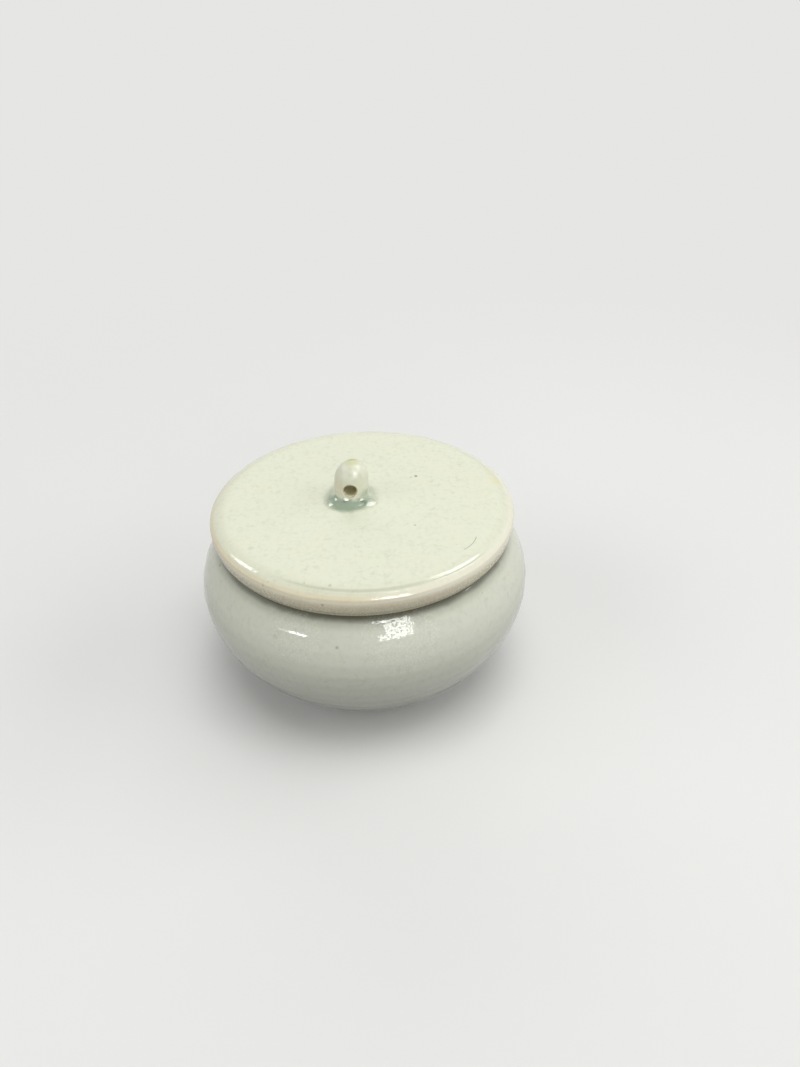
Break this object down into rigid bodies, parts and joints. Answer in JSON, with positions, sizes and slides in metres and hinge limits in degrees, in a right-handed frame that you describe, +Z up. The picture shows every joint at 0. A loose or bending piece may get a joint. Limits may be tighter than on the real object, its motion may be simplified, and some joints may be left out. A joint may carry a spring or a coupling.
{
  "type": "lidded jar",
  "caption": "Small squat glazed jar without a neck. Its thick flat disc lid has a full round edge and lifts off by a pierced knob.",
  "frame": {"origin": "middle of the circle that the foot stands on", "axes": "+Z up through the middle of the jar; the knob's hole runs along Y"},
  "size_m": [0.096, 0.096, 0.067],
  "materials": {
    "jar_glaze": "glossy pale grey-green glaze",
    "lid_glaze": "glossy pale cream-green glaze, thin and buff at the edge",
    "knob_glaze": "glossy greyish white glaze, pooled blue-green at its foot",
    "bare_clay": "bare buff stoneware, matt"
  },
  "bodies": {
    "jar": {"jar_body": "jar_glaze"},
    "lid_carrier": {"lid_flange": "bare_clay"},
    "lid": {"lid_plate": "lid_glaze", "lid_knob": "knob_glaze"}
  },
  "joints": [
    {"name": "lid_lift", "type": "slide", "parent": "jar", "child": "lid_carrier", "axis": [0, 0, 1], "range_m": [0, 0.07]},
    {"name": "lid_turn", "type": "hinge", "parent": "lid_carrier", "child": "lid", "pos_m": [0, 0, 0.0514], "axis": [0, 0, 1], "continuous": true}
  ]
}
